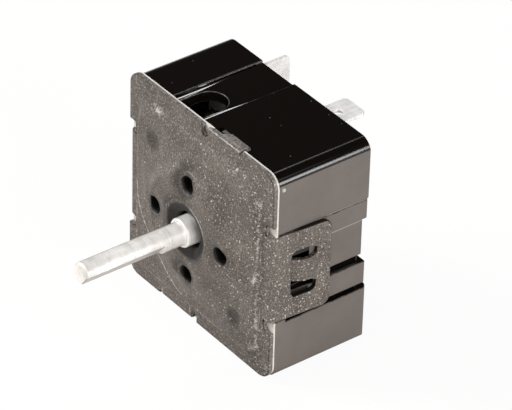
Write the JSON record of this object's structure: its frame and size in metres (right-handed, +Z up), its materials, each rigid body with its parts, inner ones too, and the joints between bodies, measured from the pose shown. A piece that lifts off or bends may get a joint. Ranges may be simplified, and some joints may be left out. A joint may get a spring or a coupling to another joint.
{
  "type": "infinite switch",
  "caption": "Push-to-turn infinite switch that cycles the power of a cooking element, with a D shaft, a pressed steel mounting plate and push-on terminals.",
  "frame": {"origin": "centre of the plate's raised mounting face, on the shaft axis, in the plane of the face", "axes": "-Y out along the shaft, towards the knob; +Y back into the case; +Z up"},
  "size_m": [0.0476, 0.0592, 0.0474],
  "materials": {
    "zinc_steel": "dull zinc-plated sheet",
    "black_thermoset": "glossy moulded",
    "paper_sheet": "white insulating paper",
    "tinned_brass": "satin tin plate",
    "spring_copper": "rolled",
    "silver_alloy": "satin",
    "brass": "turned",
    "bright_steel": "bright plated, turned",
    "spring_steel": "plain",
    "cream_thermoset": "moulded",
    "bimetal": "rolled",
    "mica_board": "layered board",
    "heater_wire": "drawn",
    "ceramic": "fired"
  },
  "bodies": {
    "housing": {"mounting_plate": "zinc_steel", "case": "black_thermoset", "insulator_sheet": "paper_sheet", "line_terminal_1": "tinned_brass", "line_terminal_2": "tinned_brass", "load_terminal_1": "tinned_brass", "load_terminal_2": "tinned_brass", "pilot_terminal": "tinned_brass", "snap_blade": "spring_copper", "line_blade": "spring_copper", "pilot_blade": "spring_copper", "fixed_contacts": "silver_alloy", "moving_contacts": "silver_alloy", "blade_rivets": "brass", "pivot_pin": "bright_steel"},
    "follower": {"follower_lever": "cream_thermoset", "bimetal_strip": "bimetal", "heater_card": "mica_board", "heater_winding": "heater_wire", "calibration_screw": "brass", "strip_button": "ceramic", "strip_rivet": "brass"},
    "cam": {"cam": "cream_thermoset", "return_spring": "spring_steel"},
    "shaft": {"shaft": "bright_steel", "thrust_washer": "bright_steel", "retaining_ring": "spring_steel"}
  },
  "joints": [
    {"name": "turn", "type": "hinge", "parent": "housing", "child": "cam", "pos_m": [0, 0, 0], "axis": [0, -1, 0], "continuous": true},
    {"name": "push", "type": "slide", "parent": "cam", "child": "shaft", "axis": [0, 1, 0], "range_m": [0, 0.002], "stiffness_N_per_m": 1000, "springref_m": -0.003, "deforming": ["return_spring"]},
    {"name": "follower_swing", "type": "hinge", "parent": "housing", "child": "follower", "pos_m": [-0.0161, 0.0113, 0.01195], "axis": [0, -1, 0], "range_deg": [0, 1.9]}
  ]
}
